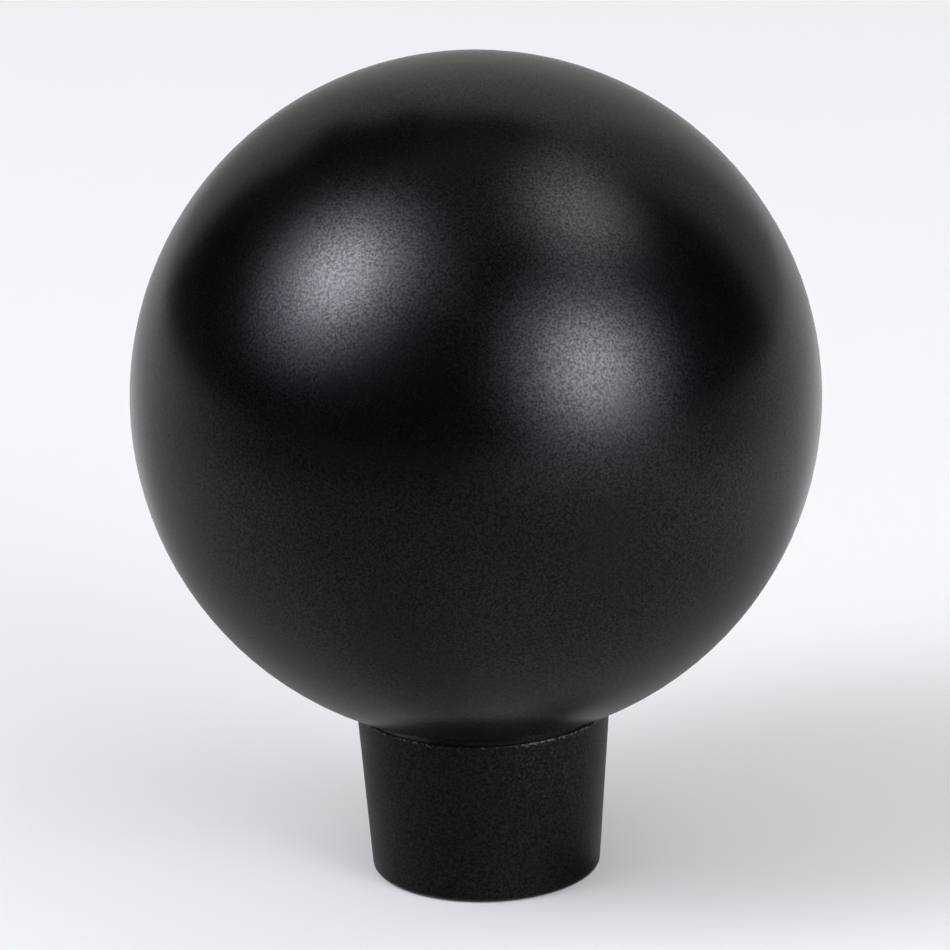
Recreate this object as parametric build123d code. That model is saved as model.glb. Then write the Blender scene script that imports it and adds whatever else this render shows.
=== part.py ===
from build123d import *
import os
from math import radians, tan

# A ball knob for a door or drawer front, turned in two pieces and coated black.
# The ball has a small flat seat and a blind bore at its bottom. The neck tapers
# towards the door, and its spigot is bonded into the ball's bore.
# The origin is the centre of the base that goes against the door, and +Z points
# out of the door to the top of the ball. All sizes are in millimetres.

# Overall sizes
ball_diameter = 28.575
projection = 34.925

# Tapered neck, widest at the ledge that the ball sits on
base_diameter = 9.55
ledge_diameter = 10.62
ledge_height = 7.15
ledge_edge_break = 0.12
base_edge_break = 0.15

# Spigot on top of the ledge, inside the ball
spigot_diameter = 6.35
spigot_length = 8.0
spigot_lead_in = 0.5

# Clearances between the spigot and the ball's bore
bond_gap = 0.05
bore_end_gap = 0.5
bore_mouth_chamfer = 0.3

# Screw hole in the base, at the tap drill's size for a No. 8-32 machine screw
tap_drill_diameter = 3.454
drill_point_angle = 118.0
screw_hole_depth = 12.7
countersink_diameter = 4.6
countersink_angle = 90.0

# Sizes worked out from those above
ball_radius = ball_diameter / 2
ball_centre_height = projection - ball_radius
ledge_radius = ledge_diameter / 2
base_radius = base_diameter / 2
spigot_radius = spigot_diameter / 2
spigot_top = ledge_height + spigot_length
bore_radius = spigot_radius + bond_gap
bore_depth = spigot_length + bore_end_gap
tap_drill_radius = tap_drill_diameter / 2
countersink_radius = countersink_diameter / 2


def cone_depth(radius, full_angle):
    """Depth of a cone of the given radius and full point angle."""
    return radius / tan(radians(full_angle / 2))


def turned(*profile):
    """The solid that a closed profile of (radius, height) points makes when it is turned about Z."""
    with BuildSketch(Plane.XZ) as section:
        with BuildLine():
            Polyline(*profile, close=True)
        make_face()
    return revolve(section.sketch, Axis.Z)


def make_ball():
    """Sphere cut flat where it sits on the neck's ledge, with the blind bore for the spigot."""
    sphere = Pos(0, 0, ball_centre_height) * Sphere(ball_radius)
    below_ledge = Pos(0, 0, ledge_height) * Box(
        ball_diameter,
        ball_diameter,
        ball_diameter,
        align=(Align.CENTER, Align.CENTER, Align.MAX),
    )
    bore = turned(
        (0, 0),
        (bore_radius + bore_mouth_chamfer, 0),
        (bore_radius, bore_mouth_chamfer),
        (bore_radius, bore_depth),
        (0, bore_depth),
    )
    return sphere - below_ledge - Pos(0, 0, ledge_height) * bore


def make_screw_hole():
    """The space of the blind screw hole: countersink, straight wall and the drill's conical end."""
    countersink_depth = cone_depth(countersink_radius - tap_drill_radius, countersink_angle)
    point_depth = cone_depth(tap_drill_radius, drill_point_angle)
    return turned(
        (0, 0),
        (countersink_radius, 0),
        (tap_drill_radius, countersink_depth),
        (tap_drill_radius, screw_hole_depth),
        (0, screw_hole_depth + point_depth),
    )


def make_neck():
    """Tapered neck with its flat ledge, the spigot above it, and the screw hole in the base."""
    body = turned(
        (0, 0),
        (base_radius - base_edge_break, 0),
        (base_radius, base_edge_break),
        (ledge_radius, ledge_height - ledge_edge_break),
        (ledge_radius - ledge_edge_break, ledge_height),
        (spigot_radius, ledge_height),
        (spigot_radius, spigot_top - spigot_lead_in),
        (spigot_radius - spigot_lead_in, spigot_top),
        (0, spigot_top),
    )
    return body - make_screw_hole()


os.makedirs("parts", exist_ok=True)
export_step(make_ball(), "parts/ball.step")
export_step(make_neck(), "parts/neck.step")
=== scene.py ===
# Ball knob: a satin black ball on a turned, tapered neck, with its studio and camera.
# The script runs on its own. It is laid out as an add-on, and all sizes are in metres.

from math import cos, pi, radians, sin, sqrt, tan

import bmesh
import bpy
from bpy.props import FloatProperty, FloatVectorProperty, PointerProperty
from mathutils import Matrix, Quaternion, Vector


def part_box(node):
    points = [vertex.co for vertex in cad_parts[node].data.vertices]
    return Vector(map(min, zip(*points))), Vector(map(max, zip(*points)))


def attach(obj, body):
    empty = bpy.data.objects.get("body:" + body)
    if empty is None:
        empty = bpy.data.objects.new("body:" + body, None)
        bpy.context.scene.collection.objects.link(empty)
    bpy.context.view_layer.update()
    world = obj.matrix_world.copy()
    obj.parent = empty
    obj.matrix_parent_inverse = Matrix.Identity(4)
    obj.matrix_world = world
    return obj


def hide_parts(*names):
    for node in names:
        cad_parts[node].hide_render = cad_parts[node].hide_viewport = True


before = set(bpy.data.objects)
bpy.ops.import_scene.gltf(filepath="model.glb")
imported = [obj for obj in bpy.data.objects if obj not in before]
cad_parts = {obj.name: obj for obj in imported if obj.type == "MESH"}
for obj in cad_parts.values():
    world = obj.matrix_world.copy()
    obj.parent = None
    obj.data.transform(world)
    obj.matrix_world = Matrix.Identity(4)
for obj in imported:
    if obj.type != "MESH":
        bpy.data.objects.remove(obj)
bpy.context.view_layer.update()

bl_info = {
    "name": "Ball knob",
    "version": (1, 0, 0),
    "blender": (4, 5, 0),
    "location": "3D View > Sidebar > Ball knob",
    "description": "Coats the knob's ball, turns its threaded neck and sets up a studio for both",
    "category": "Object",
}

MM = 0.001
INCH = 0.0254
NANOMETRE = 1e-9
WHITE = (1.0, 1.0, 1.0)

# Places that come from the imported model
BALL_LOW, BALL_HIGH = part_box("ball")
NECK_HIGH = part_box("neck")[1]
BALL_RADIUS = (BALL_HIGH.x - BALL_LOW.x) / 2
BALL_CENTRE = Vector((0, 0, BALL_HIGH.z - BALL_RADIUS))


# Settings that a user would change

class NeckSizes(bpy.types.PropertyGroup):
    """Sizes of the turned neck."""

    base_radius: FloatProperty(
        name="Base radius", description="Radius of the end that goes against the door",
        default=4.775 * MM, min=0, unit="LENGTH", precision=5)
    ledge_radius: FloatProperty(
        name="Ledge radius", description="Radius of the ledge under the ball, where the neck is widest",
        default=NECK_HIGH.x, min=0, unit="LENGTH", precision=5)
    ledge_height: FloatProperty(
        name="Ledge height", description="Height of the ledge above the door",
        default=7.15 * MM, min=0, unit="LENGTH", precision=5)
    rim_rounding: FloatProperty(
        name="Rim rounding", description="Radius of the rounded edge of the ledge",
        default=0.06 * MM, min=0, unit="LENGTH", precision=5)
    base_rounding: FloatProperty(
        name="Base rounding", description="Radius of the rounded edge of the base",
        default=0.2 * MM, min=0, unit="LENGTH", precision=5)
    bead_foot: FloatProperty(
        name="Bead foot", description="Radius at which the bead of coating starts on the ledge",
        default=5.205 * MM, min=0, unit="LENGTH", precision=5)
    bead_head: FloatProperty(
        name="Bead head", description="Radius at which the bead of coating reaches the ball",
        default=5.15 * MM, min=0, unit="LENGTH", precision=5)
    spigot_radius: FloatProperty(
        name="Spigot radius", description="Radius of the spigot inside the ball",
        default=3.175 * MM, min=0, unit="LENGTH", precision=5)
    spigot_lead_in: FloatProperty(
        name="Spigot lead-in", description="Size of the chamfer on the spigot's end",
        default=0.5 * MM, min=0, unit="LENGTH", precision=5)
    spigot_top: FloatProperty(
        name="Spigot top", description="Height of the spigot's end above the door",
        default=NECK_HIGH.z, min=0, unit="LENGTH", precision=5)
    countersink_radius: FloatProperty(
        name="Countersink radius", description="Radius of the screw hole's mouth",
        default=2.3 * MM, min=0, unit="LENGTH", precision=5)
    tap_drill_radius: FloatProperty(
        name="Tap drill radius", description="Radius of the screw hole inside its thread",
        default=1.727 * MM, min=0, unit="LENGTH", precision=5)
    thread_radius: FloatProperty(
        name="Thread radius", description="Radius of the screw hole at the bottom of its thread's groove",
        default=0.164 * INCH / 2, min=0, unit="LENGTH", precision=5)
    thread_pitch: FloatProperty(
        name="Thread pitch", description="Height of one turn of the thread",
        default=INCH / 32, min=0.1 * MM, unit="LENGTH", precision=5)
    hole_depth: FloatProperty(
        name="Hole depth", description="Depth of the screw hole's straight wall",
        default=12.7 * MM, min=0, unit="LENGTH", precision=5)
    drill_point: FloatProperty(
        name="Drill point", description="Full angle of the cone that the drill leaves at the hole's end",
        default=radians(118), min=radians(60), max=radians(175), subtype="ANGLE")


class CoatingLooks(bpy.types.PropertyGroup):
    """Colours and finish of the two coated pieces."""

    ball_colour: FloatVectorProperty(
        name="Ball colour", description="Colour of the ball's coating",
        default=(0.0008, 0.0008, 0.0010), min=0, max=1, size=3, subtype="COLOR")
    # Painted light: a paler colour that stands in for light on the ball's underside by the neck
    seat_painted_light: FloatVectorProperty(
        name="Seat colour", description="Colour that paints light onto the ball close to the neck",
        default=(0.0055, 0.0055, 0.0055), min=0, max=1, size=3, subtype="COLOR")
    neck_colour: FloatVectorProperty(
        name="Neck colour", description="Colour of the neck's coating",
        default=(0.0022, 0.0022, 0.0023), min=0, max=1, size=3, subtype="COLOR")
    rubbed_colour: FloatVectorProperty(
        name="Rubbed colour", description="Colour of the specks where the neck's coating is rubbed",
        default=(0.11, 0.11, 0.11), min=0, max=1, size=3, subtype="COLOR")
    scuff_colour: FloatVectorProperty(
        name="Scuff colour", description="Colour of the faint specks on the neck's scuffed side",
        default=(0.024, 0.024, 0.024), min=0, max=1, size=3, subtype="COLOR")
    # Painted light: paler than the neck's coating, to lighten the shaded corner under the ball
    corner_painted_light: FloatVectorProperty(
        name="Corner colour", description="Colour that paints light into the shaded corner under the ball",
        default=(0.005, 0.005, 0.005), min=0, max=1, size=3, subtype="COLOR")
    # Painted light: much paler, for the corner's left part on the key lamp's side
    left_corner_painted_light: FloatVectorProperty(
        name="Left corner light colour", description="Colour that paints light into the left part of the corner under the ball",
        default=(0.1, 0.1, 0.1), min=0, max=1, size=3, subtype="COLOR")
    bare_colour: FloatVectorProperty(
        name="Bare colour", description="Colour of the bare metal that the screw hole is cut into",
        default=(0.42, 0.41, 0.39), min=0, max=1, size=3, subtype="COLOR")
    ball_roughness: FloatProperty(
        name="Ball roughness", description="Mean roughness of the ball's coating",
        default=0.25, min=0, max=1, subtype="FACTOR")
    neck_roughness: FloatProperty(
        name="Neck roughness", description="Mean roughness of the neck's coating",
        default=0.38, min=0, max=1, subtype="FACTOR")
    ball_grain: FloatProperty(
        name="Ball grain", description="Width of one grain of the ball's coating",
        default=0.10 * MM, min=0.01 * MM, unit="LENGTH", precision=5)
    neck_grain: FloatProperty(
        name="Neck grain", description="Width of one grain of the neck's coating",
        default=0.11 * MM, min=0.01 * MM, unit="LENGTH", precision=5)


class StudioLooks(bpy.types.PropertyGroup):
    """Floor, lamps, surroundings and camera."""

    floor_colour: FloatVectorProperty(
        name="Floor colour", description="Colour of the plain floor",
        default=(0.84, 0.83, 0.80), min=0, max=1, size=3, subtype="COLOR")
    floor_glow: FloatProperty(
        name="Floor glow", description="Glow of the floor near the knob, added to its lit colour",
        default=0.09, min=0)
    sky_strength: FloatProperty(
        name="Sky strength", description="Even light from all round", default=0.4, min=0)
    lamp_tint: FloatVectorProperty(
        name="Lamp tint", description="Colour of the left lamp's light and of the low lamp's at the right",
        default=(0.975, 1.0, 1.09), min=0, soft_max=1.5, size=3, subtype="COLOR")
    top_tint: FloatVectorProperty(
        name="Top lamp tint", description="Colour of the high lamp's light, less blue than the others'",
        default=(1.0, 1.0, 1.045), min=0, soft_max=1.5, size=3, subtype="COLOR")
    key_strength: FloatProperty(
        name="Key strength", description="Peak radiance of the lamp at the upper left", default=9.2, min=0)
    fill_strength: FloatProperty(
        name="Fill strength", description="Peak radiance of the low lamp at the right", default=6.8, min=0)
    top_strength: FloatProperty(
        name="Top strength", description="Peak radiance of the high lamp at the right", default=2.25, min=0)
    camera_elevation: FloatProperty(
        name="Camera elevation", description="Height of the camera as an angle, seen from the ball's centre",
        default=radians(18.03), subtype="ANGLE")
    camera_distance: FloatProperty(
        name="Camera distance", description="Distance from the camera to the ball's centre",
        default=20 * BALL_RADIUS, min=0.05, unit="LENGTH", precision=5)
    camera_lens: FloatProperty(
        name="Camera lens", description="Focal length in millimetres on a 36 mm sensor",
        default=262.2, min=1)
    camera_lean: FloatProperty(
        name="Camera lean", description="Angle at which the knob leans to the left in the picture",
        default=radians(1.35), subtype="ANGLE")


# Helpers for objects and shader nodes

def link_mesh(name, bm):
    """Makes an object of a finished bmesh and frees the bmesh."""
    mesh = bpy.data.meshes.new(name)
    bm.to_mesh(mesh)
    bm.free()
    piece = bpy.data.objects.new(name, mesh)
    bpy.context.scene.collection.objects.link(piece)
    return piece


def clear_old(name):
    """Removes an object that an earlier run of an operator made."""
    old = bpy.data.objects.get(name)
    if old is not None:
        bpy.data.objects.remove(old, do_unlink=True)


def new_material(name):
    """An empty node material, made afresh."""
    old = bpy.data.materials.get(name)
    if old is not None and "made_by_knob" in old:
        bpy.data.materials.remove(old)
    material = bpy.data.materials.new(name)
    material["made_by_knob"] = True
    material.use_nodes = True
    material.node_tree.nodes.clear()
    return material


def rgba(colour, factor=1.0):
    """A colour, or a multiple of it, as the four numbers that a socket takes."""
    return (*(factor * part for part in colour), 1.0)


def add_node(tree, kind, label, settings=None, values=None):
    """Adds one node, sets its properties, and sets or links its inputs by name or number."""
    node = tree.nodes.new(kind)
    node.label = label
    for key, value in (settings or {}).items():
        setattr(node, key, value)
    for key, value in (values or {}).items():
        if isinstance(value, bpy.types.NodeSocket):
            tree.links.new(value, node.inputs[key])
        else:
            node.inputs[key].default_value = value
    return node


def map_range(tree, label, value, given, wanted, interpolation):
    """The output of a Map Range node that takes the given range to the wanted one and stops at its ends."""
    node = add_node(tree, "ShaderNodeMapRange", label, {"clamp": True, "interpolation_type": interpolation}, {
        "Value": value,
        "From Min": given[0], "From Max": given[1],
        "To Min": wanted[0], "To Max": wanted[1]})
    return node.outputs["Result"]


def rescaled(tree, label, value, given, wanted):
    """The value, taken evenly from the given range to the wanted one."""
    return map_range(tree, label, value, given, wanted, "LINEAR")


def eased(tree, label, value, given, wanted=(0.0, 1.0)):
    """The value, taken from the given range to the wanted one with a soft start and end."""
    return map_range(tree, label, value, given, wanted, "SMOOTHSTEP")


def computed(tree, label, operation, first, second):
    """The output of a Math node with two inputs."""
    node = add_node(tree, "ShaderNodeMath", label, {"operation": operation}, {0: first, 1: second})
    return node.outputs["Value"]


def computed_vector(tree, label, operation, first, second=(0, 0, 0)):
    """The vector output of a Vector Math node."""
    node = add_node(tree, "ShaderNodeVectorMath", label, {"operation": operation}, {0: first, 1: second})
    return node.outputs["Vector"]


def length_of(tree, label, vector):
    """The length of a vector."""
    node = add_node(tree, "ShaderNodeVectorMath", label, {"operation": "LENGTH"}, {0: vector})
    return node.outputs["Value"]


def parts_of(tree, label, vector):
    """The X, Y and Z of a vector."""
    outputs = add_node(tree, "ShaderNodeSeparateXYZ", label, None, {0: vector}).outputs
    return outputs["X"], outputs["Y"], outputs["Z"]


def place_on_object(tree, label):
    """The place that is shaded, in the object's own coordinates."""
    return add_node(tree, "ShaderNodeTexCoord", label).outputs["Object"]


def mixed(tree, label, factor, first, second):
    """The output of a Mix node for numbers."""
    node = add_node(tree, "ShaderNodeMix", label, {"data_type": "FLOAT"}, {0: factor, 2: first, 3: second})
    return node.outputs[0]


def mixed_colour(tree, label, factor, first, second):
    """The output of a Mix node for colours."""
    node = add_node(tree, "ShaderNodeMix", label, {"data_type": "RGBA"}, {0: factor, 6: first, 7: second})
    return node.outputs[2]


def seen_directly(tree):
    """1 for rays that the camera, gloss or glass sends out, and 0 for rays that carry light."""
    path = add_node(tree, "ShaderNodeLightPath", "Kind of ray")
    seen = computed(tree, "Camera or gloss", "MAXIMUM",
                    path.outputs["Is Camera Ray"], path.outputs["Is Glossy Ray"])
    return computed(tree, "Or glass", "MAXIMUM", seen, path.outputs["Is Transmission Ray"])


# Effects that both coatings use

SPOT_SHIFT = (0.37, 0.11, 0.23)
FEW_SPECKS_LEVEL = 0.80
MANY_SPECKS_LEVEL = 0.35
SPECK_EDGE = 0.08

# Ranges of the grain's three noises that are put to use
HEIGHT_NOISE = (0.25, 0.75)
SPOT_NOISE = (0.35, 0.65)
PATCH_NOISE = (0.3, 0.7)


def new_group(name, inputs, outputs):
    """An empty shader node group with number sockets, its input node and its output node."""
    group = bpy.data.node_groups.new(name, "ShaderNodeTree")
    for label, default in inputs.items():
        socket = group.interface.new_socket(name=label, in_out="INPUT", socket_type="NodeSocketFloat")
        socket.default_value = default
    for label in outputs:
        group.interface.new_socket(name=label, in_out="OUTPUT", socket_type="NodeSocketFloat")
    return group, group.nodes.new("NodeGroupInput"), group.nodes.new("NodeGroupOutput")


def coating_grain_group():
    """Node group: fine grain of a sprayed coating and slow patches over it."""
    name = "coating_grain"
    if name in bpy.data.node_groups:
        return bpy.data.node_groups[name]
    group, given, put_out = new_group(
        name, {"Grain Width": 0.16 * MM, "Patch Width": 4 * MM}, ("Height", "Spots", "Patches"))
    place = place_on_object(group, "Place on the piece")
    shifted = computed_vector(group, "Place for the spots", "ADD", place, SPOT_SHIFT)
    grains = computed(group, "Grains per metre", "DIVIDE", 1.0, given.outputs["Grain Width"])
    patches = computed(group, "Patches per metre", "DIVIDE", 1.0, given.outputs["Patch Width"])
    for output, label, spot, scale, detail in (
            ("Height", "Bumps", place, grains, 1.0),
            ("Spots", "Dull and bright spots", shifted, grains, 1.0),
            ("Patches", "Slow patches", shifted, patches, 3.0)):
        noise = add_node(group, "ShaderNodeTexNoise", label, None,
                         {"Vector": spot, "Scale": scale, "Detail": detail, "Roughness": 0.5})
        group.links.new(noise.outputs["Fac"], put_out.inputs[output])
    return group


def pale_specks_group():
    """Node group: small pale specks of dust or rubbed coating, few or many."""
    name = "pale_specks"
    if name in bpy.data.node_groups:
        return bpy.data.node_groups[name]
    group, given, put_out = new_group(name, {"Speck Width": 0.12 * MM, "Share": 0.1}, ("Specks",))
    place = place_on_object(group, "Place on the piece")
    per_metre = computed(group, "Specks per metre", "DIVIDE", 1.0, given.outputs["Speck Width"])
    noise = add_node(group, "ShaderNodeTexNoise", "Speck noise", None,
                     {"Vector": place, "Scale": per_metre, "Detail": 2.0, "Roughness": 0.6})
    level = rescaled(group, "Level that a speck starts at", given.outputs["Share"],
                     (0.0, 1.0), (FEW_SPECKS_LEVEL, MANY_SPECKS_LEVEL))
    over = computed(group, "Height over the level", "SUBTRACT", noise.outputs["Fac"], level)
    specks = eased(group, "Speck edge", over, (0.0, SPECK_EDGE))
    group.links.new(specks, put_out.inputs["Specks"])
    return group


def add_grain(tree, grain_width, patch_width):
    """Puts the grain group into a material, and gives its node."""
    return add_node(tree, "ShaderNodeGroup", "Grain", {"node_tree": coating_grain_group()},
                    {"Grain Width": grain_width, "Patch Width": patch_width})


def add_specks(tree, label, width, share):
    """Puts the speck group into a material, and gives its mask."""
    node = add_node(tree, "ShaderNodeGroup", label, {"node_tree": pale_specks_group()},
                    {"Speck Width": width, "Share": share})
    return node.outputs["Specks"]


def uneven_colour(tree, label, grain, colour, least, most):
    """A colour that changes slowly over the surface, between two multiples of itself."""
    return mixed_colour(tree, label, grain.outputs["Patches"], rgba(colour, least), rgba(colour, most))


def uneven_roughness(tree, grain, mean, by_grain, by_patch):
    """A roughness that changes a little from grain to grain and from patch to patch."""
    fine = rescaled(tree, "Grain of the roughness", grain.outputs["Height"],
                    HEIGHT_NOISE, (-by_grain, by_grain))
    slow = rescaled(tree, "Patches of the roughness", grain.outputs["Patches"],
                    PATCH_NOISE, (-by_patch, by_patch))
    both = computed(tree, "Both changes", "ADD", fine, slow)
    return computed(tree, "Roughness", "ADD", both, mean)


def add_pores(tree, grain, fewest, most):
    """Mask of the coating's pores. As Metallic on black, it takes the reflection away there."""
    return rescaled(tree, "Pores that reflect next to nothing", grain.outputs["Spots"],
                    SPOT_NOISE, (fewest, most))


def finish_coating(tree, grain, bump_height, ior, colour, roughness, metallic):
    """The coating's shader with the grain as its bump, and the material's output."""
    bump = add_node(tree, "ShaderNodeBump", "Grain height", None,
                    {"Strength": 1.0, "Distance": bump_height, "Height": grain.outputs["Height"]})
    shader = add_node(tree, "ShaderNodeBsdfPrincipled", "Coating", None, {
        "Base Color": colour, "Roughness": roughness, "Metallic": metallic, "IOR": ior,
        "Normal": bump.outputs["Normal"]})
    add_node(tree, "ShaderNodeOutputMaterial", "Output", None, {"Surface": shader.outputs["BSDF"]})


# The ball's coating

BALL_IOR = 1.65
BALL_BUMP_HEIGHT = 0.001 * MM
BALL_PATCH_WIDTH = 5 * MM
BALL_DUST_WIDTH = 0.14 * MM
BALL_DUST_SHARE = 0.12
BALL_DUST_PALER = 4
BALL_FEWEST_PORES = 0.01
BALL_MOST_PORES = 0.57

# Where the slow patches rise through this range, the pores' range narrows by this much at each end
CALM_PATCHES = (0.5, 0.62)
CALMING = 0.12

# Heights over the ball's flat seat at which its painted light ends above and is full below
SEAT_PAINTED_LIGHT_ENDS = 3.2 * MM
SEAT_PAINTED_LIGHT_FULL = 1.6 * MM


def make_ball_material(looks):
    """Smooth satin black coating with a fine grain, with light painted on to make it paler close to the neck.
    """
    material = new_material("satin_black_coating")
    tree = material.node_tree
    grain = add_grain(tree, looks.ball_grain, BALL_PATCH_WIDTH)

    # Colour: slow changes, specks of dust, and painted light by the seat
    specks = add_specks(tree, "Dust", BALL_DUST_WIDTH, BALL_DUST_SHARE)
    coated = uneven_colour(tree, "Slow change of colour", grain, looks.ball_colour, least=0.7, most=1.4)
    dust = rgba(looks.ball_colour, BALL_DUST_PALER)
    dusted = mixed_colour(tree, "Dust on the colour", specks, coated, dust)
    _, _, height = parts_of(tree, "Parts of the place", place_on_object(tree, "Place on the piece"))
    # Painted light: the ball is made paler by the seat, standing in for light that reaches its underside
    # there
    by_seat = eased(tree, "By the seat", height, (BALL_LOW.z + SEAT_PAINTED_LIGHT_ENDS, BALL_LOW.z + SEAT_PAINTED_LIGHT_FULL))
    colour = mixed_colour(tree, "Painted light by the seat", by_seat, dusted, rgba(looks.seat_painted_light))

    # Pores, whose contrast is weaker in some patches
    calm = eased(tree, "Where the grain is weak", grain.outputs["Patches"], CALM_PATCHES, (0.0, CALMING))
    fewest = computed(tree, "Fewest pores", "ADD", calm, BALL_FEWEST_PORES)
    most = computed(tree, "Most pores", "SUBTRACT", BALL_MOST_PORES, calm)
    pores = add_pores(tree, grain, fewest, most)

    roughness = uneven_roughness(tree, grain, looks.ball_roughness, by_grain=0.03, by_patch=0.012)
    finish_coating(tree, grain, BALL_BUMP_HEIGHT, BALL_IOR, colour, roughness, pores)
    return material


# The neck's coating

NECK_IOR = 1.45
NECK_BUMP_HEIGHT = 0.002 * MM
NECK_PATCH_WIDTH = 2.2 * MM
NECK_FEWEST_PORES = 0.0
NECK_MOST_PORES = 0.6
CORNER_DULLNESS = 0.35
RIM_SPECK_WIDTH = 0.11 * MM
RIM_SPECK_SHARE = (0.5, 0.75)
SCUFF_WIDTH = 0.12 * MM
SCUFF_SHARE = (0.28, 0.50)

# Places across the neck, from the left to the right of the picture
RUBBED_ON_RIGHT = (1.0 * MM, 2.0 * MM)
RUBBED_ON_LEFT = (-1.6 * MM, -2.6 * MM)
LEFT_RUB = 0.55
PAINTED_LIGHT_ON_LEFT = (-1.8 * MM, -3.6 * MM)
SCUFFED_ON_RIGHT = (-0.2 * MM, 1.4 * MM)

# Heights on the neck between which the scuffs grow, and their share at the lower one
SCUFFED_HEIGHTS = (2.5 * MM, 6.0 * MM)
LOW_SCUFFS = 0.3

# Depths below or inside an edge at which a finish begins and at which it is full
CORNER_INSIDE_RIM = (0.02 * MM, 0.05 * MM)
CORNER_BELOW_LEDGE = (0.02 * MM, 0.005 * MM)
RUBBED_BELOW_LEDGE = (0.3 * MM, 0.04 * MM)
BARE_INSIDE_MOUTH = (0.0, 0.03 * MM)
BARE_BELOW_SPIGOT_END = (0.3 * MM, 0.6 * MM)


def within(edge, depths):
    """The two places at these depths below a height or inside a radius."""
    return edge - depths[0], edge - depths[1]


def make_neck_material(looks, sizes):
    """Coarser satin black coating, rubbed on the rim, scuffed on the right and bare in the screw hole."""
    material = new_material("rubbed_black_coating")
    tree = material.node_tree
    grain = add_grain(tree, looks.neck_grain, NECK_PATCH_WIDTH)
    place = place_on_object(tree, "Place on the piece")
    across, _, height = parts_of(tree, "Parts of the place", place)
    flat = computed_vector(tree, "Place without its height", "MULTIPLY", place, (1, 1, 0))
    radius = length_of(tree, "Distance from the axis", flat)

    # Corner between the ledge and the ball, inside the rim's rounding, where light is painted into the colour
    # and the coating is rougher
    inward = eased(tree, "Inside the rim", radius, within(sizes.ledge_radius, CORNER_INSIDE_RIM))
    above = eased(tree, "Above the ledge", height, within(sizes.ledge_height, CORNER_BELOW_LEDGE))
    corner = computed(tree, "Corner under the ball", "MULTIPLY", inward, above)

    # Rubbed specks on the rim, mostly at the sides
    on_rim = eased(tree, "On the rim", height, within(sizes.ledge_height, RUBBED_BELOW_LEDGE))
    rub_right = eased(tree, "Rubbed on the right", across, RUBBED_ON_RIGHT)
    rub_left = eased(tree, "Rubbed on the left", across, RUBBED_ON_LEFT, (0.0, LEFT_RUB))
    rub_sides = computed(tree, "Rubbed sides", "MAXIMUM", rub_right, rub_left)
    rim_amount = rescaled(tree, "Specks on the rim", rub_sides, (0.0, 1.0), RIM_SPECK_SHARE)
    rim_share = computed(tree, "Share of specks at the rim", "MULTIPLY", on_rim, rim_amount)
    rim_specks = add_specks(tree, "Rubbed specks", RIM_SPECK_WIDTH, rim_share)

    # Scuffs on the right, more of them towards the top
    scuff_side = eased(tree, "Scuffed on the right", across, SCUFFED_ON_RIGHT)
    scuff_height = eased(tree, "Scuffed towards the top", height, SCUFFED_HEIGHTS, (LOW_SCUFFS, 1.0))
    scuff_zone = computed(tree, "Scuffed part", "MULTIPLY", scuff_side, scuff_height)
    scuff_share = rescaled(tree, "Share of scuffs", scuff_zone, (0.0, 1.0), SCUFF_SHARE)
    scuffs = add_specks(tree, "Scuffs", SCUFF_WIDTH, scuff_share)

    # Screw hole, up to the end of the spigot, whose own face stays coated
    inside = eased(tree, "Inside the hole's mouth", radius,
                   within(sizes.countersink_radius, BARE_INSIDE_MOUTH))
    below_end = eased(tree, "Below the spigot's end", height,
                      within(sizes.spigot_top, BARE_BELOW_SPIGOT_END))
    in_hole = computed(tree, "In the screw hole", "MULTIPLY", inside, below_end)

    # Colour: each of these over the one before
    coated = uneven_colour(tree, "Slow change of colour", grain, looks.neck_colour, least=0.7, most=1.6)
    scuffed = mixed_colour(tree, "Scuffs on the colour", scuffs, coated, rgba(looks.scuff_colour))
    rubbed = mixed_colour(tree, "Rubbed specks on the colour", rim_specks, scuffed, rgba(looks.rubbed_colour))
    # Painted light: the colour called dust here is painted light for the corner, paler still on the left, the
    # key lamp's side
    left_painted_light = eased(tree, "More painted light on the left", across, PAINTED_LIGHT_ON_LEFT)
    dust = mixed_colour(tree, "Painted light by side", left_painted_light, rgba(looks.corner_painted_light), rgba(looks.left_corner_painted_light))
    # Painted light: the corner's colour is paler than the coating, standing in for light that the ball's
    # shade keeps out of it
    corner_lightened = mixed_colour(tree, "Painted light in the corner", corner, rubbed, dust)
    bare = uneven_colour(tree, "Slow change of the bare metal", grain, looks.bare_colour, least=0.7, most=1.2)
    colour = mixed_colour(tree, "Bare metal in the hole", in_hole, corner_lightened, bare)

    pores = add_pores(tree, grain, NECK_FEWEST_PORES, NECK_MOST_PORES)
    metallic = computed(tree, "Pores and bare metal", "MAXIMUM", pores, in_hole)
    dull = computed(tree, "Rough in the corner", "MULTIPLY", corner, CORNER_DULLNESS)
    overall = uneven_roughness(tree, grain, looks.neck_roughness, by_grain=0.04, by_patch=0.03)
    roughness = computed(tree, "Rougher in the corner", "ADD", overall, dull)
    finish_coating(tree, grain, NECK_BUMP_HEIGHT, NECK_IOR, colour, roughness, metallic)
    return material


# The neck's mesh

COLUMNS = 96
ROUNDING_STEPS = 6
SUPPORT = 0.03 * MM
BEAD_STEPS = 6
BEAD_HOLLOW = 0.015 * MM
BEAD_CLEARANCE = 0.004 * MM
SHARP_ANGLE = radians(35)

# Thread profile, as shares of its pitch
ROOT_HALF_WIDTH = 1 / 16
CREST_HALF_WIDTH = 0.18
FLANK_STEPS = 4

# Turns at the hole's end over which the thread fades and the wall is plain, and turns by which
# the wall's grid is longer than the wall
UNTHREADED_TURNS = 3
SPARE_TURNS = 3


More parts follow.
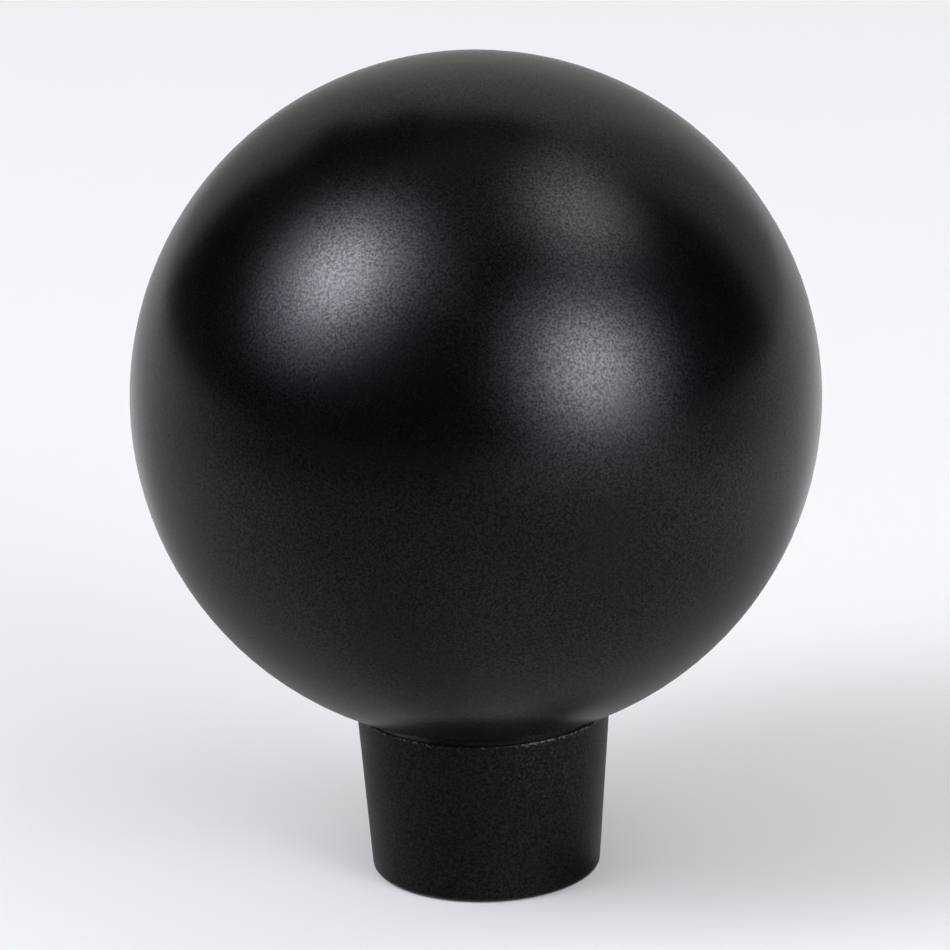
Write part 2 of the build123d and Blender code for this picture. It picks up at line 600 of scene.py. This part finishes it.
def rounded(corners):
    """Profile points for a list of (radius, height, rounding) corners, with each rounding as a small arc.

    A support point stands just beyond each end of an arc, so that the shading of the flat
    faces beside it stays flat.
    """
    points = []
    for i, (radius, height, rounding) in enumerate(corners):
        corner = Vector((radius, height))
        if rounding == 0:
            points.append(corner)
            continue
        before = (Vector(corners[i - 1][:2]) - corner).normalized()
        after = (Vector(corners[i + 1][:2]) - corner).normalized()
        half_angle = before.angle(after) / 2
        reach = rounding / tan(half_angle)
        centre = corner + (before + after).normalized() * (rounding / sin(half_angle))
        start, end = corner + before * reach, corner + after * reach
        points.append(corner + before * (reach + SUPPORT))
        for step in range(ROUNDING_STEPS + 1):
            chord = start.lerp(end, step / ROUNDING_STEPS) - centre
            points.append(centre + chord.normalized() * rounding)
        points.append(corner + after * (reach + SUPPORT))
    return points


def under_ball(radius):
    """Height of the ball's surface at this distance from the knob's axis, less a hair's clearance."""
    return BALL_CENTRE.z - sqrt(BALL_RADIUS ** 2 - radius ** 2) - BEAD_CLEARANCE


def coating_bead(sizes):
    """Profile points of the coating that fills the corner between the ledge and the ball.

    Its face is hollow, and its back lies close under the ball, down to where the ball meets the ledge.
    """
    foot = Vector((sizes.bead_foot, sizes.ledge_height))
    head = Vector((sizes.bead_head, under_ball(sizes.bead_head)))
    points = []
    for step in range(BEAD_STEPS + 1):
        share = step / BEAD_STEPS
        hollow = BEAD_HOLLOW * 4 * share * (1 - share)
        points.append(foot.lerp(head, share) - Vector((hollow, 0)))
    seat = sqrt(BALL_RADIUS ** 2 - (BALL_CENTRE.z - BEAD_CLEARANCE - sizes.ledge_height) ** 2)
    for step in range(1, BEAD_STEPS + 1):
        radius = sizes.bead_head + (seat - sizes.bead_head) * step / BEAD_STEPS
        points.append(Vector((radius, under_ball(radius))))
    return points


def outer_profile(sizes):
    """Profile of the neck's outside, from the hole's mouth round to the edge of the spigot's end."""
    bead = [(point.x, point.y, 0) for point in coating_bead(sizes)]
    return rounded([
        (sizes.countersink_radius, 0, 0),
        (sizes.base_radius, 0, sizes.base_rounding),
        (sizes.ledge_radius, sizes.ledge_height, sizes.rim_rounding),
        *bead,
        (sizes.spigot_radius, sizes.ledge_height, 0),
        (sizes.spigot_radius, sizes.spigot_top - sizes.spigot_lead_in, 0),
        (sizes.spigot_radius - sizes.spigot_lead_in, sizes.spigot_top, 0),
    ])


def thread_rows():
    """One turn of the thread as (share of the pitch, share of the groove's depth) pairs."""
    flank = 0.5 - CREST_HALF_WIDTH - ROOT_HALF_WIDTH
    rows = [(-ROOT_HALF_WIDTH, 1.0)]
    for step in range(FLANK_STEPS + 1):
        share = step / FLANK_STEPS
        rows.append((ROOT_HALF_WIDTH + share * flank, 1 - share))
    rows.append((0.5, 0.0))
    for step in range(FLANK_STEPS):
        share = step / FLANK_STEPS
        rows.append((0.5 + CREST_HALF_WIDTH + share * flank, share))
    return rows


def build_neck_mesh(sizes):
    """The neck as one closed mesh: rings outside, and a helical grid in the screw hole."""
    bm = bmesh.new()
    made = {}

    def vertex(column, radius, height):
        """The vertex at this place, which is shared by all rows that meet there."""
        column = column % COLUMNS if radius > 0 else 0
        key = (column, round(radius / NANOMETRE), round(height / NANOMETRE))
        if key not in made:
            angle = 2 * pi * column / COLUMNS
            made[key] = bm.verts.new((radius * cos(angle), radius * sin(angle), height))
        return made[key]

    def face(*corners):
        """A face through the corners, left out where they have run together."""
        different = [v for i, v in enumerate(corners) if v is not corners[i - 1]]
        if len(set(different)) > 2:
            bm.faces.new(different)

    # Rings outside, closed with a fan on the spigot's end
    profile = [*outer_profile(sizes), Vector((0, sizes.spigot_top))]
    for low, high in zip(profile, profile[1:]):
        for column in range(COLUMNS):
            face(vertex(column, *low), vertex(column + 1, *low),
                 vertex(column + 1, *high), vertex(column, *high))

    # Helical grid on the hole's wall, from one turn below the mouth. Each row climbs one pitch per
    # turn, so a row's end meets the row one turn above it. Rows past the mouth or the wall's end
    # run together there.
    turn = thread_rows()
    turns = int(sizes.hole_depth / sizes.thread_pitch) + SPARE_TURNS
    thread_end = sizes.hole_depth - UNTHREADED_TURNS * sizes.thread_pitch

    def wall_point(row, column):
        """The vertex of the hole's wall at this row and column of the helical grid."""
        share, depth = turn[row % len(turn)]
        height = sizes.thread_pitch * (row // len(turn) + share + column / COLUMNS - 1)
        height = min(max(height, 0.0), sizes.hole_depth)
        fade = min(max((thread_end - height) / sizes.thread_pitch + 1, 0.0), 1.0)
        groove = (sizes.thread_radius - sizes.tap_drill_radius) * depth * fade
        radius = max(sizes.tap_drill_radius + groove, sizes.countersink_radius - height)
        return vertex(column, radius, height)

    last = len(turn) * turns - 1
    for row in range(last):
        for column in range(COLUMNS):
            wrap = len(turn) if column == COLUMNS - 1 else 0
            beside = 0 if wrap else column + 1
            face(wall_point(row, column), wall_point(row + 1, column),
                 wall_point(min(row + 1 + wrap, last), beside), wall_point(min(row + wrap, last), beside))

    # Cone that the drill leaves at the hole's end
    tip = vertex(0, 0, sizes.hole_depth + sizes.tap_drill_radius / tan(sizes.drill_point / 2))
    for column in range(COLUMNS):
        face(vertex(column, sizes.tap_drill_radius, sizes.hole_depth), tip,
             vertex(column + 1, sizes.tap_drill_radius, sizes.hole_depth))

    bmesh.ops.recalc_face_normals(bm, faces=bm.faces)
    if any(len(edge.link_faces) != 2 for edge in bm.edges):
        raise RuntimeError("the neck's mesh isn't closed")
    return bm


# The floor, the world and the camera

SEGMENTS = 64
ROUND = [2 * pi * i / SEGMENTS for i in range(SEGMENTS)]
FLOOR_RADIUS = 1.5
FLOOR_DROP = 0.02 * MM
FLOOR_INNER_RADIUS = 4.4 * MM
BACKGROUND_BRIGHTNESS = 0.95

# Distances from the knob between which the floor's glow grows, and by how much
GLOW_REACH = (0.2, 1.1)
GLOW_GROWTH = 0.5

# Where the camera's axis crosses the plane through the knob's axis
AIM_POINT = Vector((-0.113 * MM, 0, 17.197 * MM))
SENSOR_WIDTH = 36
CLIP_START = 0.01
CLIP_END = 10


def make_ring(name, inner_radius):
    """A flat ring round the knob's axis, out to the floor's edge, facing up."""
    bm = bmesh.new()
    inner = [bm.verts.new((inner_radius * cos(a), inner_radius * sin(a), 0)) for a in ROUND]
    outer = [bm.verts.new((FLOOR_RADIUS * cos(a), FLOOR_RADIUS * sin(a), 0)) for a in ROUND]
    for i in range(SEGMENTS):
        bm.faces.new((inner[i - 1], outer[i - 1], outer[i], inner[i]))
    return link_mesh(name, bm)


def make_floor(looks):
    """A plain pale floor that is seen from above only, and is open under the knob's base."""
    clear_old("floor")
    floor = make_ring("floor", FLOOR_INNER_RADIUS)
    floor.location.z = -FLOOR_DROP
    material = new_material("pale_floor")
    tree = material.node_tree
    paint = add_node(tree, "ShaderNodeBsdfDiffuse", "Floor", None, {"Color": rgba(looks.floor_colour)})
    distance = length_of(tree, "Distance", place_on_object(tree, "Place on the floor"))
    level = eased(tree, "Glow that grows outwards", distance, GLOW_REACH,
                  (looks.floor_glow, looks.floor_glow + GLOW_GROWTH))
    strength = computed(tree, "Glow", "MULTIPLY", seen_directly(tree), level)
    glow = add_node(tree, "ShaderNodeEmission", "Pale background", None, {"Strength": strength})
    lit = add_node(tree, "ShaderNodeAddShader", "Lit floor", None, {0: paint.outputs[0], 1: glow.outputs[0]})
    clear = add_node(tree, "ShaderNodeBsdfTransparent", "Nothing")
    side = add_node(tree, "ShaderNodeNewGeometry", "Side").outputs["Backfacing"]
    both = add_node(tree, "ShaderNodeMixShader", "Floor from above", None,
                    {0: side, 1: lit.outputs[0], 2: clear.outputs[0]})
    add_node(tree, "ShaderNodeOutputMaterial", "Output", None, {"Surface": both.outputs[0]})
    floor.data.materials.append(material)


def make_world(looks):
    """Even light from all round, and a pale background."""
    world = bpy.data.worlds.get("studio") or bpy.data.worlds.new("studio")
    bpy.context.scene.world = world
    world.use_nodes = True
    tree = world.node_tree
    tree.nodes.clear()
    strength = rescaled(tree, "Strength", seen_directly(tree), (0.0, 1.0),
                        (looks.sky_strength, BACKGROUND_BRIGHTNESS))
    sky = add_node(tree, "ShaderNodeBackground", "Surroundings", None,
                   {"Color": rgba(WHITE), "Strength": strength})
    add_node(tree, "ShaderNodeOutputWorld", "Output", None, {"Surface": sky.outputs[0]})


def make_camera(looks):
    """The camera at the photograph's place and angle."""
    clear_old("camera")
    data = bpy.data.cameras.new("camera")
    data.lens = looks.camera_lens
    data.sensor_width = SENSOR_WIDTH
    data.clip_start = CLIP_START
    data.clip_end = CLIP_END
    camera = bpy.data.objects.new("camera", data)
    bpy.context.scene.collection.objects.link(camera)
    elevation = looks.camera_elevation
    camera.location = BALL_CENTRE + looks.camera_distance * Vector((0, -cos(elevation), sin(elevation)))
    level = (AIM_POINT - camera.location).to_track_quat("-Z", "Y")
    camera.rotation_mode = "QUATERNION"
    camera.rotation_quaternion = level @ Quaternion((0, 0, 1), -looks.camera_lean)
    bpy.context.scene.camera = camera


# The lamps

LAMP_DISTANCE = 0.6
LAMP_MIDDLE = (0.5, 0.5, 0)
CORE_SIZE = 0.5

# Distances from a lamp's middle, in widths of the lamp: its light fades over the first range,
# and is bluer towards the start of the second
LAMP_FADE = (0.07, 0.5)
LAMP_BLUE_EDGE = (0.4, 0.1)
LAMP_EDGE_TINT = (0.96, 1.0, 1.16)


def direction(azimuth, elevation):
    """Unit vector towards a place round the knob. Azimuth 0 is the camera's side and 90 is its right."""
    a, e = radians(azimuth), radians(elevation)
    return Vector((sin(a) * cos(e), -cos(a) * cos(e), sin(e)))


def add_lamp(name, azimuth, elevation, half_width, half_height, turn, core_share, strength, tint):
    """A soft-edged oval lamp that faces the ball, with a bright core of half its size.

    Angles are in degrees. Strength is the radiance at its middle, and core_share is the core's part of it.
    """
    clear_old(name)
    lamp = bpy.data.lights.new(name, "AREA")
    lamp.shape = "ELLIPSE"
    lamp.size = 2 * LAMP_DISTANCE * tan(radians(half_width))
    lamp.size_y = 2 * LAMP_DISTANCE * tan(radians(half_height))
    area = pi / 4 * lamp.size * lamp.size_y
    lamp.energy = strength * area * pi
    lamp.color = tint
    lamp.use_nodes = True
    tree = lamp.node_tree
    tree.nodes.clear()
    across = add_node(tree, "ShaderNodeNewGeometry", "Place on the lamp").outputs["Parametric"]
    from_middle = computed_vector(tree, "From the middle", "SUBTRACT", across, LAMP_MIDDLE)
    distance = length_of(tree, "Distance", from_middle)
    core_fade = [CORE_SIZE * end for end in LAMP_FADE]
    wide = eased(tree, "Wide soft oval", distance, LAMP_FADE, (1 - core_share, 0.0))
    core = eased(tree, "Bright core", distance, core_fade, (core_share, 0.0))
    falloff = computed(tree, "Both together", "ADD", wide, core)
    inner = eased(tree, "Towards the middle", distance, LAMP_BLUE_EDGE)
    colour = mixed_colour(tree, "Bluer towards the edge", inner, rgba(LAMP_EDGE_TINT), rgba(WHITE))
    glow = add_node(tree, "ShaderNodeEmission", "Lamp", None, {"Color": colour, "Strength": falloff})
    add_node(tree, "ShaderNodeOutputLight", "Output", None, {"Surface": glow.outputs[0]})
    holder = bpy.data.objects.new(name, lamp)
    bpy.context.scene.collection.objects.link(holder)
    towards = direction(azimuth, elevation)
    holder.location = BALL_CENTRE + towards * LAMP_DISTANCE
    holder.rotation_mode = "QUATERNION"
    holder.rotation_quaternion = towards.to_track_quat("Z", "Y") @ Quaternion((0, 0, 1), radians(turn))
    holder.visible_camera = False


def make_lamps(looks):
    """Three soft lamps: high at the left, low at the right, and high at the far right."""
    add_lamp("key_lamp", azimuth=-67.3, elevation=45.2, half_width=31.2, half_height=34.4, turn=-20,
             core_share=0.71, strength=looks.key_strength, tint=looks.lamp_tint)
    add_lamp("fill_lamp", azimuth=41.6, elevation=21.9, half_width=34.7, half_height=37.0, turn=10,
             core_share=0.70, strength=looks.fill_strength, tint=looks.lamp_tint)
    add_lamp("top_lamp", azimuth=85.2, elevation=60.6, half_width=28.1, half_height=23.6, turn=17,
             core_share=0.38, strength=looks.top_strength, tint=looks.top_tint)


# What the gloss shows besides the lamps

ROOM_RADIUS = 2.0
CARD_RADIUS = 1.2
CARD_STEPS = 8
CARD_TINT = (1.01, 1.0, 0.95)
TABLE_TINT = (1.005, 1.0, 1.02)
TABLE_INNER_RADIUS = 4.9 * MM

# Distances from the knob's axis over which the table's parts run into each other
SHADE_FADES = (5 * MM, 11 * MM)
NEAR_TO_MIDDLE = (22 * MM, 50 * MM)
MIDDLE_TO_FAR = (60 * MM, 130 * MM)

# Brightness of the table near the knob, and what is taken off it in front
NEAR_BRIGHTNESS = 0.32
FRONT_LEFT_DIMMING = 0.095
SHADE_DEPTH = 0.8

# Brightness of the table in the middle, as a sum of these
MIDDLE_LEFT_TO_RIGHT = (-0.085, 0.11)
MIDDLE_FAR_LEFT = 0.08
MIDDLE_FRONT_TO_SIDE = (0.215, 0.465)
MIDDLE_BEHIND = 0.5

# Brightness of the table far out, and of its lit patch in front of the low lamp
FAR_FRONT_TO_BACK = (0.095, 0.605)
FAR_PATCH = 0.4

# Ways out from the knob, sideways to the right, over which the table's brightness changes
ALL_ACROSS = (-1, 1)
RIGHT_OF_NECK = (0.35, 0.9)
LEFT_OF_NECK = (0.15, -0.35)
FAR_LEFT = (-0.7, -1.0)
LAMP_SIDE = (-0.2, 0.5)

# Ways out from the knob, straight back, over which the table's brightness changes
BESIDE_TO_FRONT = (0.1, -0.4)
FRONT_OF_NECK = (-0.4, -0.9)
FRONT_TO_SIDE = (-1, 0.5)
SIDE_TO_BACK = (0.5, 1.0)
FRONT_TO_BACK = (-0.55, 1.0)
SIDE_TO_FRONT = (-0.1, -0.7)


def only_in_gloss(obj):
    """Shows a stage object in gloss alone. It throws no light and no shadow."""
    obj.visible_camera = False
    obj.visible_diffuse = False
    obj.visible_transmission = False
    obj.visible_volume_scatter = False
    obj.visible_shadow = False


def glowing_material(name, strength, tint=WHITE):
    """An emitting material, for what is seen in the gloss alone."""
    material = new_material(name)
    tree = material.node_tree
    glow = add_node(tree, "ShaderNodeEmission", "Brightness in the gloss", None,
                    {"Color": rgba(tint), "Strength": strength})
    add_node(tree, "ShaderNodeOutputMaterial", "Output", None, {"Surface": glow.outputs[0]})
    return material


def make_room():
    """A black room round everything, which keeps the pale background out of the gloss."""
    clear_old("room")
    bm = bmesh.new()
    bmesh.ops.create_uvsphere(bm, u_segments=SEGMENTS, v_segments=SEGMENTS // 2, radius=ROOM_RADIUS)
    room = link_mesh("room", bm)
    room.data.materials.append(glowing_material("room_glow", 0.0))
    only_in_gloss(room)


def make_card(name, azimuths, elevations, strength):
    """A curved card that stands round the ball between two azimuths and two elevations, in degrees."""
    clear_old(name)
    bm = bmesh.new()

    def corner(i, j):
        """The place of one corner of the card's grid."""
        azimuth = azimuths[0] + (azimuths[1] - azimuths[0]) * i / CARD_STEPS
        elevation = elevations[0] + (elevations[1] - elevations[0]) * j / CARD_STEPS
        return BALL_CENTRE + CARD_RADIUS * direction(azimuth, elevation)

    grid = [[bm.verts.new(corner(i, j)) for i in range(CARD_STEPS + 1)] for j in range(CARD_STEPS + 1)]
    for j in range(CARD_STEPS):
        for i in range(CARD_STEPS):
            bm.faces.new((grid[j][i], grid[j][i + 1], grid[j + 1][i + 1], grid[j + 1][i]))
    card = link_mesh(name, bm)
    card.data.materials.append(glowing_material(name + "_glow", strength, CARD_TINT))
    only_in_gloss(card)


def make_cards():
    """Pale walls behind the knob, faint cards high at the left and overhead, and one for the underside."""
    make_card("back_card", azimuths=(148, 192), elevations=(0, 55), strength=0.43)
    make_card("back_left_card", azimuths=(192, 206), elevations=(0, 47), strength=0.34)
    make_card("right_card", azimuths=(121, 148), elevations=(0, 66), strength=0.27)
    make_card("left_card", azimuths=(206, 220), elevations=(0, 34), strength=0.29)
    make_card("high_card", azimuths=(260, 357), elevations=(45, 66), strength=0.19)
    make_card("ceiling_card", azimuths=(0, 360), elevations=(66, 90), strength=0.1)
    make_card("low_card", azimuths=(0, 360), elevations=(-90, -30), strength=0.6)


def near_brightness(tree, distance, sideways, backward):
    """The table near the knob: its shade in front on the right, and a dimmer part in front on the left."""
    to_right = eased(tree, "To the right of the neck", sideways, RIGHT_OF_NECK, (0.0, SHADE_DEPTH))
    not_behind = eased(tree, "Not behind the neck", backward, BESIDE_TO_FRONT)
    shade = computed(tree, "Shade in front on the right", "MULTIPLY", to_right, not_behind)
    close = eased(tree, "Beside the neck", distance, SHADE_FADES, (1.0, 0.0))
    shaded = computed(tree, "Shaded", "MULTIPLY", shade, close)
    lit = computed(tree, "Light that is left", "SUBTRACT", 1.0, shaded)
    front = eased(tree, "In front of the neck", backward, FRONT_OF_NECK)
    left = eased(tree, "On its left", sideways, LEFT_OF_NECK, (0.0, FRONT_LEFT_DIMMING))
    dimmer = computed(tree, "Dimmer in front on the left", "MULTIPLY", front, left)
    unshaded = computed(tree, "Near, unshaded", "SUBTRACT", NEAR_BRIGHTNESS, dimmer)
    return computed(tree, "Near", "MULTIPLY", lit, unshaded)


def middle_brightness(tree, sideways, backward):
    """The table in the middle: brighter towards the back, and a little at the far left and on the right."""
    right = rescaled(tree, "Middle, left to right", sideways, ALL_ACROSS, MIDDLE_LEFT_TO_RIGHT)
    left = eased(tree, "Middle, far left", sideways, FAR_LEFT, (0.0, MIDDLE_FAR_LEFT))
    back = rescaled(tree, "Middle, front to side", backward, FRONT_TO_SIDE, MIDDLE_FRONT_TO_SIDE)
    behind = eased(tree, "Middle, straight behind", backward, SIDE_TO_BACK, (0.0, MIDDLE_BEHIND))
    across = computed(tree, "Sideways", "ADD", right, left)
    along = computed(tree, "Backward", "ADD", back, behind)
    return computed(tree, "Middle", "ADD", across, along)


def far_brightness(tree, sideways, backward):
    """The table far out: brighter towards the back, with a lit patch in front of the low lamp."""
    to_back = eased(tree, "Far, front to back", backward, FRONT_TO_BACK, FAR_FRONT_TO_BACK)
    lamp_side = eased(tree, "Lamp's side", sideways, LAMP_SIDE, (0.0, FAR_PATCH))
    in_front = eased(tree, "In front", backward, SIDE_TO_FRONT)
    patch = computed(tree, "Lit patch in front of the low lamp", "MULTIPLY", lamp_side, in_front)
    return computed(tree, "Far", "ADD", to_back, patch)


def table_material():
    """A grey table for the gloss, in three rings: near the knob, in the middle and far out.

    Sideways and backward are the two parts of the way out from the knob, each from -1 to 1.
    """
    material = glowing_material("table_card_glow", 1.0, TABLE_TINT)
    tree = material.node_tree
    place = place_on_object(tree, "Place on the table")
    distance = length_of(tree, "Distance", place)
    way_out = computed_vector(tree, "Way out", "NORMALIZE", place)
    sideways, backward, _ = parts_of(tree, "Parts of the way out", way_out)
    near = near_brightness(tree, distance, sideways, backward)
    middle = middle_brightness(tree, sideways, backward)
    far = far_brightness(tree, sideways, backward)
    to_middle = eased(tree, "Near to middle", distance, NEAR_TO_MIDDLE)
    to_far = eased(tree, "Middle to far", distance, MIDDLE_TO_FAR)
    inside = mixed(tree, "Near and middle", to_middle, near, middle)
    whole = mixed(tree, "All three", to_far, inside, far)
    tree.links.new(whole, tree.nodes["Emission"].inputs["Strength"])
    return material


def make_table():
    """The grey table that the gloss shows in place of the bright floor."""
    clear_old("table_card")
    table = make_ring("table_card", TABLE_INNER_RADIUS)
    table.location.z = -FLOOR_DROP / 2
    table.data.materials.append(table_material())
    only_in_gloss(table)


# Operators, one for each piece and one for the stage

class KNOB_OT_set_stage(bpy.types.Operator):
    """Make the camera, floor, lamps and surroundings"""

    bl_idname = "knob.set_stage"
    bl_label = "Set the stage"

    def execute(self, context):
        looks = context.scene.knob_studio
        make_camera(looks)
        make_floor(looks)
        make_world(looks)
        make_room()
        make_cards()
        make_table()
        make_lamps(looks)
        context.scene.view_settings.view_transform = "Standard"
        return {"FINISHED"}


class KNOB_OT_coat_ball(bpy.types.Operator):
    """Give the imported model's ball its satin black coating"""

    bl_idname = "knob.coat_ball"
    bl_label = "Coat the ball"

    def execute(self, context):
        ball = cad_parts.get("ball")
        if ball is None:
            raise RuntimeError("the packed model has no ball")
        material = make_ball_material(context.scene.knob_coating)
        for slot in ball.material_slots:
            slot.material = material
        return {"FINISHED"}


class KNOB_OT_turn_neck(bpy.types.Operator):
    """Build the neck with its rounded edges and real thread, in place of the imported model's neck"""

    bl_idname = "knob.turn_neck"
    bl_label = "Turn the neck"

    def execute(self, context):
        sizes = context.scene.knob_neck
        clear_old("neck_threaded")
        neck = link_mesh("neck_threaded", build_neck_mesh(sizes))
        neck.data.shade_smooth()
        neck.data.set_sharp_from_angle(angle=SHARP_ANGLE)
        neck.data.materials.append(make_neck_material(context.scene.knob_coating, sizes))
        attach(neck, "root")
        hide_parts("neck")
        return {"FINISHED"}


class KNOB_PT_panel(bpy.types.Panel):
    """The knob's settings and operators"""

    bl_idname = "KNOB_PT_panel"
    bl_label = "Ball knob"
    bl_space_type = "VIEW_3D"
    bl_region_type = "UI"
    bl_category = "Ball knob"

    def draw(self, context):
        scene = context.scene
        for settings, operator in (
                (scene.knob_studio, "knob.set_stage"),
                (scene.knob_coating, "knob.coat_ball"),
                (scene.knob_neck, "knob.turn_neck")):
            box = self.layout.box()
            for key in settings.bl_rna.properties.keys():
                if key not in ("rna_type", "name"):
                    box.prop(settings, key)
            box.operator(operator)


CLASSES = (NeckSizes, CoatingLooks, StudioLooks,
           KNOB_OT_set_stage, KNOB_OT_coat_ball, KNOB_OT_turn_neck, KNOB_PT_panel)


def register():
    """Registers the classes and gives each scene its three groups of settings."""
    for cls in CLASSES:
        bpy.utils.register_class(cls)
    bpy.types.Scene.knob_neck = PointerProperty(type=NeckSizes)
    bpy.types.Scene.knob_coating = PointerProperty(type=CoatingLooks)
    bpy.types.Scene.knob_studio = PointerProperty(type=StudioLooks)


def unregister():
    """Takes the settings away and unregisters the classes."""
    del bpy.types.Scene.knob_studio
    del bpy.types.Scene.knob_coating
    del bpy.types.Scene.knob_neck
    for cls in reversed(CLASSES):
        bpy.utils.unregister_class(cls)


def main():
    """Makes the stage and the pieces."""
    register()
    bpy.ops.knob.set_stage()
    bpy.ops.knob.coat_ball()
    bpy.ops.knob.turn_neck()


if __name__ == "__main__":
    main()
